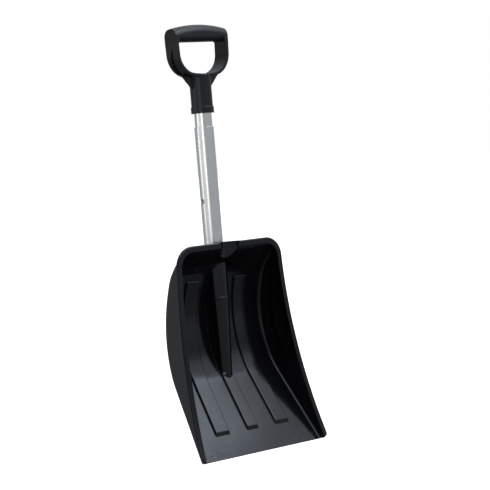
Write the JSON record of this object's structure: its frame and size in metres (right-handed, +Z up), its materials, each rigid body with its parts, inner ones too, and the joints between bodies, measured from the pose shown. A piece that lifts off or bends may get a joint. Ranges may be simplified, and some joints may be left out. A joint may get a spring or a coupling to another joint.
{
  "type": "avalanche shovel",
  "caption": "Compact snow shovel: moulded scoop with raised rim lip and pan ribs, telescoping aluminium shaft with spring button, and a D-grip.",
  "frame": {"origin": "middle of the flat digging edge, with the shovel upright", "axes": "+Z up along the shaft, -Y out of the scoop's mouth, X across the blade"},
  "size_m": [0.2624, 0.1037, 0.6653],
  "materials": {
    "blade_plastic": "gloss black moulded polypropylene",
    "lower_aluminium": "drawn aluminium, fine lengthwise grain",
    "upper_aluminium": "drawn aluminium, fine lengthwise grain",
    "grip_plastic": "satin black moulded plastic",
    "button_steel": "plated steel",
    "spring_steel": "tempered spring steel",
    "rivet_metal": "aluminium blind rivet",
    "screw_steel": "zinc-plated steel"
  },
  "bodies": {
    "scoop": {"blade": "blade_plastic", "lower_tube": "lower_aluminium", "blade_rivet": "rivet_metal"},
    "upper_shaft": {"upper_tube": "upper_aluminium", "d_grip": "grip_plastic", "grip_screw": "screw_steel", "button_spring": "spring_steel"},
    "button": {"snap_button": "button_steel"}
  },
  "joints": [
    {"name": "shaft_slide", "type": "slide", "parent": "scoop", "child": "upper_shaft", "axis": [0, 0, 1], "range_m": [0, 0.12]},
    {"name": "button_snap", "type": "slide", "parent": "upper_shaft", "child": "button", "axis": [-1, 0, 0], "range_m": [0, 0.004], "stiffness_N_per_m": 1500, "springref_m": 0.006, "deforming": ["button_spring"]}
  ]
}
